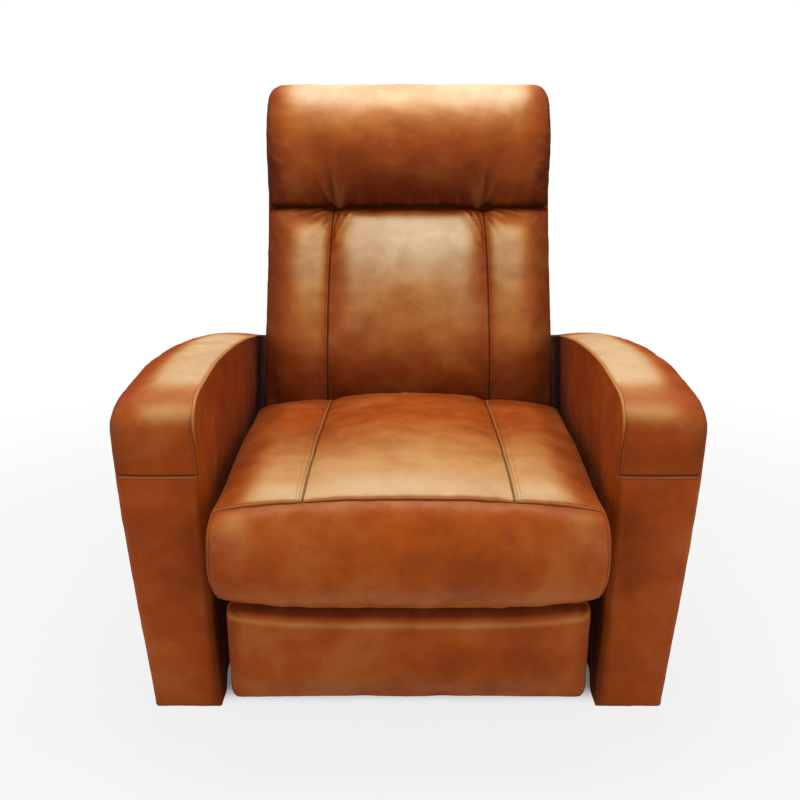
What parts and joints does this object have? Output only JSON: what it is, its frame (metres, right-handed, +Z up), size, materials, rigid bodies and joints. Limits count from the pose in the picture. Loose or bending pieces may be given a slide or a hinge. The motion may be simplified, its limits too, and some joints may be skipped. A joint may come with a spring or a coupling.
{
  "type": "cinema recliner seat",
  "caption": "Leather cinema recliner with padded arms, a reclining back with a head roll, a sprung seat and a folding footrest on a link mechanism.",
  "frame": {"origin": "middle of the box around the seat at rest, on the floor", "axes": "+Z up; the sitter faces -Y; +X is the right of a viewer in front"},
  "size_m": [0.962, 1.0288, 1.0964],
  "materials": {
    "arm_leather": "satin",
    "seat_leather": "satin",
    "back_leather": "satin",
    "dark_leather": "satin",
    "timber": "matte",
    "zinc_steel": "satin",
    "black_steel": "satin",
    "nylon": "matte",
    "webbing": "matte"
  },
  "bodies": {
    "base": {"arm_cover_left": "arm_leather", "arm_cover_right": "arm_leather", "arm_frame_left": "timber", "arm_frame_right": "timber", "glide_front_left": "nylon", "glide_front_right": "nylon", "glide_rear_left": "nylon", "glide_rear_right": "nylon", "base_plate_left": "black_steel", "base_plate_right": "black_steel", "base_cross_front": "black_steel", "base_cross_rear": "black_steel", "rear_apron": "dark_leather"},
    "front_swing": {"swing_link_front_left": "zinc_steel", "swing_link_front_right": "zinc_steel"},
    "rear_swing": {"swing_link_rear_left": "zinc_steel", "swing_link_rear_right": "zinc_steel"},
    "seat": {"seat_plate_left": "black_steel", "seat_plate_right": "black_steel", "seat_rail_left": "timber", "seat_rail_right": "timber", "seat_rail_front": "timber", "seat_rail_rear": "timber", "seat_spring_1": "zinc_steel", "seat_spring_2": "zinc_steel", "seat_spring_3": "zinc_steel", "seat_spring_4": "zinc_steel", "seat_spring_5": "zinc_steel", "seat_cushion": "seat_leather"},
    "backrest": {"back_side_panel_left": "timber", "back_side_panel_right": "timber", "back_rail_low": "timber", "back_rail_middle": "timber", "back_rail_top": "timber", "back_bracket_left": "black_steel", "back_bracket_right": "black_steel", "back_webbing_1": "webbing", "back_webbing_2": "webbing", "back_webbing_3": "webbing", "lumbar_cushion": "back_leather", "head_cushion": "back_leather", "outer_back": "dark_leather"},
    "lift_front": {"lift_link_front_left": "zinc_steel", "lift_link_front_right": "zinc_steel"},
    "lift_rear": {"lift_link_rear_left": "zinc_steel", "lift_link_rear_right": "zinc_steel", "torque_tube": "black_steel"},
    "carrier": {"carrier_link_left": "zinc_steel", "carrier_link_right": "zinc_steel"},
    "tilt": {"tilt_link_left": "zinc_steel", "tilt_link_right": "zinc_steel"},
    "footrest": {"footrest_bracket_left": "black_steel", "footrest_bracket_right": "black_steel", "footrest_board": "timber", "footrest_pad": "seat_leather"}
  },
  "joints": [
    {"name": "recline", "type": "hinge", "parent": "seat", "child": "backrest", "pos_m": [0, 0.22564, 0.33], "axis": [-1, 0, 0], "range_deg": [0, 30]},
    {"name": "front_swing_pivot", "type": "hinge", "parent": "base", "child": "front_swing", "pos_m": [0, -0.19436, 0.075], "axis": [1, 0, 0], "range_deg": [0, 34]},
    {"name": "seat_level", "type": "hinge", "parent": "front_swing", "child": "seat", "pos_m": [0, -0.16512, 0.17063], "axis": [-1, 0, 0], "range_deg": [0, 34]},
    {"name": "rear_swing_pivot", "type": "hinge", "parent": "base", "child": "rear_swing", "pos_m": [0, 0.14564, 0.075], "axis": [1, 0, 0], "range_deg": [0, 34]},
    {"name": "leg_lift", "type": "hinge", "parent": "seat", "child": "lift_front", "pos_m": [0, -0.33936, 0.226], "axis": [-1, 0, 0], "range_deg": [0, 140]},
    {"name": "rear_lift_pivot", "type": "hinge", "parent": "seat", "child": "lift_rear", "pos_m": [0, -0.27828, 0.20377], "axis": [-1, 0, 0], "range_deg": [0, 140]},
    {"name": "carrier_pivot", "type": "hinge", "parent": "lift_front", "child": "carrier", "pos_m": [0, -0.20147, 0.1103], "axis": [1, 0, 0], "range_deg": [0, 140]},
    {"name": "tilt_pivot", "type": "hinge", "parent": "lift_front", "child": "tilt", "pos_m": [0, -0.18346, 0.1118], "axis": [1, 0, 0], "range_deg": [0, 158.2]},
    {"name": "footrest_turn", "type": "hinge", "parent": "carrier", "child": "footrest", "pos_m": [0, -0.35236, 0.185], "axis": [-1, 0, 0], "range_deg": [0, 80.01]}
  ],
  "couplings": [
    {"joint": "front_swing_pivot", "follows": "recline", "ratio": 1.1333},
    {"joint": "seat_level", "follows": "recline", "ratio": 1.1333},
    {"joint": "rear_swing_pivot", "follows": "recline", "ratio": 1.1333},
    {"joint": "rear_lift_pivot", "follows": "leg_lift", "ratio": 1},
    {"joint": "carrier_pivot", "follows": "leg_lift", "ratio": 1},
    {"joint": "tilt_pivot", "follows": "leg_lift", "ratio": 1.1299},
    {"joint": "footrest_turn", "follows": "leg_lift", "ratio": 0.57143}
  ]
}
